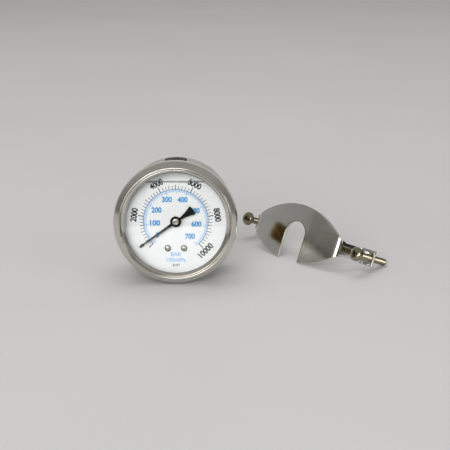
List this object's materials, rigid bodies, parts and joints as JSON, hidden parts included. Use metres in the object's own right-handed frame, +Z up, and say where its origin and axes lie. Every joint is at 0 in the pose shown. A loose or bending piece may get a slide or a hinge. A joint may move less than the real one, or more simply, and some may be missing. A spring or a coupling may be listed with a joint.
{
  "type": "panel mount pressure gauge",
  "caption": "Liquid-filled dial pressure gauge with a centre-back threaded stem, and the slotted clamp with screws that holds it in a panel.",
  "frame": {"origin": "the centre of the bounding box at the surface that the gauge and clamp lie on", "axes": "+Z up from that surface, the dial faces -Y and leans back, +X to the dial's right, where the clamp lies"},
  "size_m": [0.1556, 0.0998, 0.0686],
  "materials": {
    "polished_steel": "polished",
    "case_steel": "brushed",
    "window_glass": "clear",
    "seal_rubber": "matte",
    "dial_white": "satin white enamel",
    "pointer_black": "matte black",
    "screw_steel": "machined",
    "movement_brass": "machined",
    "tube_bronze": "drawn bronze",
    "stem_brass": "turned",
    "clamp_plate": "bright plated steel",
    "clamp_screw": "nickel plated"
  },
  "bodies": {
    "gauge": {"case_shell": "case_steel", "bezel_ring": "polished_steel", "window": "window_glass", "window_gasket": "seal_rubber", "dial": "dial_white", "dial_screws": "screw_steel", "dial_posts": "movement_brass", "stop_pin": "screw_steel", "front_plate": "movement_brass", "rear_plate": "movement_brass", "movement_base": "movement_brass", "movement_pillars": "movement_brass", "movement_screws": "screw_steel", "hairspring": "tube_bronze", "hairspring_stud": "movement_brass", "bourdon_tube": "tube_bronze", "tube_foot": "stem_brass", "tube_end": "stem_brass", "stem": "stem_brass", "stem_seal": "seal_rubber", "stem_screws": "screw_steel", "restrictor": "stem_brass", "fill_plug": "seal_rubber"},
    "pointer": {"pointer_blade": "pointer_black", "pointer_hub": "screw_steel", "pinion_arbor": "screw_steel"},
    "sector": {"sector_gear": "movement_brass", "sector_arbor": "screw_steel", "link_pin": "screw_steel"},
    "link": {"link_rod": "movement_brass", "link_end_pin": "screw_steel"},
    "clamp": {"clamp_bracket": "clamp_plate"},
    "left_screw": {"left_clamp_screw": "clamp_screw"},
    "right_screw": {"right_clamp_screw": "clamp_screw"}
  },
  "joints": [
    {"name": "sector_swing", "type": "hinge", "parent": "gauge", "child": "sector", "pos_m": [-0.04347, -0.03155, 0.01981], "axis": [0, -0.9954, 0.0954], "range_deg": [0, 32.5], "stiffness_Nm_per_rad": 0.0004},
    {"name": "pointer_turn", "type": "hinge", "parent": "gauge", "child": "pointer", "pos_m": [-0.04347, -0.03942, 0.03413], "axis": [0, -0.9954, 0.0954], "range_deg": [-260, 0]},
    {"name": "link_pivot", "type": "hinge", "parent": "sector", "child": "link", "pos_m": [-0.04489, -0.03077, 0.01534], "axis": [0, -0.9954, 0.0954], "range_deg": [-32.5, 0]},
    {"name": "clamp_lift", "type": "slide", "parent": "gauge", "child": "clamp", "axis": [0, 0, 1], "range_m": [0, 0.06]},
    {"name": "left_screw_travel", "type": "slide", "parent": "clamp", "child": "left_screw", "axis": [-0.6759, -0.615, 0.4061], "range_m": [-0.0105, 0.0135]},
    {"name": "right_screw_travel", "type": "slide", "parent": "clamp", "child": "right_screw", "axis": [-0.6759, -0.615, 0.4061], "range_m": [-0.0105, 0.0135]}
  ],
  "couplings": [
    {"joint": "pointer_turn", "follows": "sector_swing", "ratio": -8},
    {"joint": "link_pivot", "follows": "sector_swing", "ratio": -1}
  ]
}
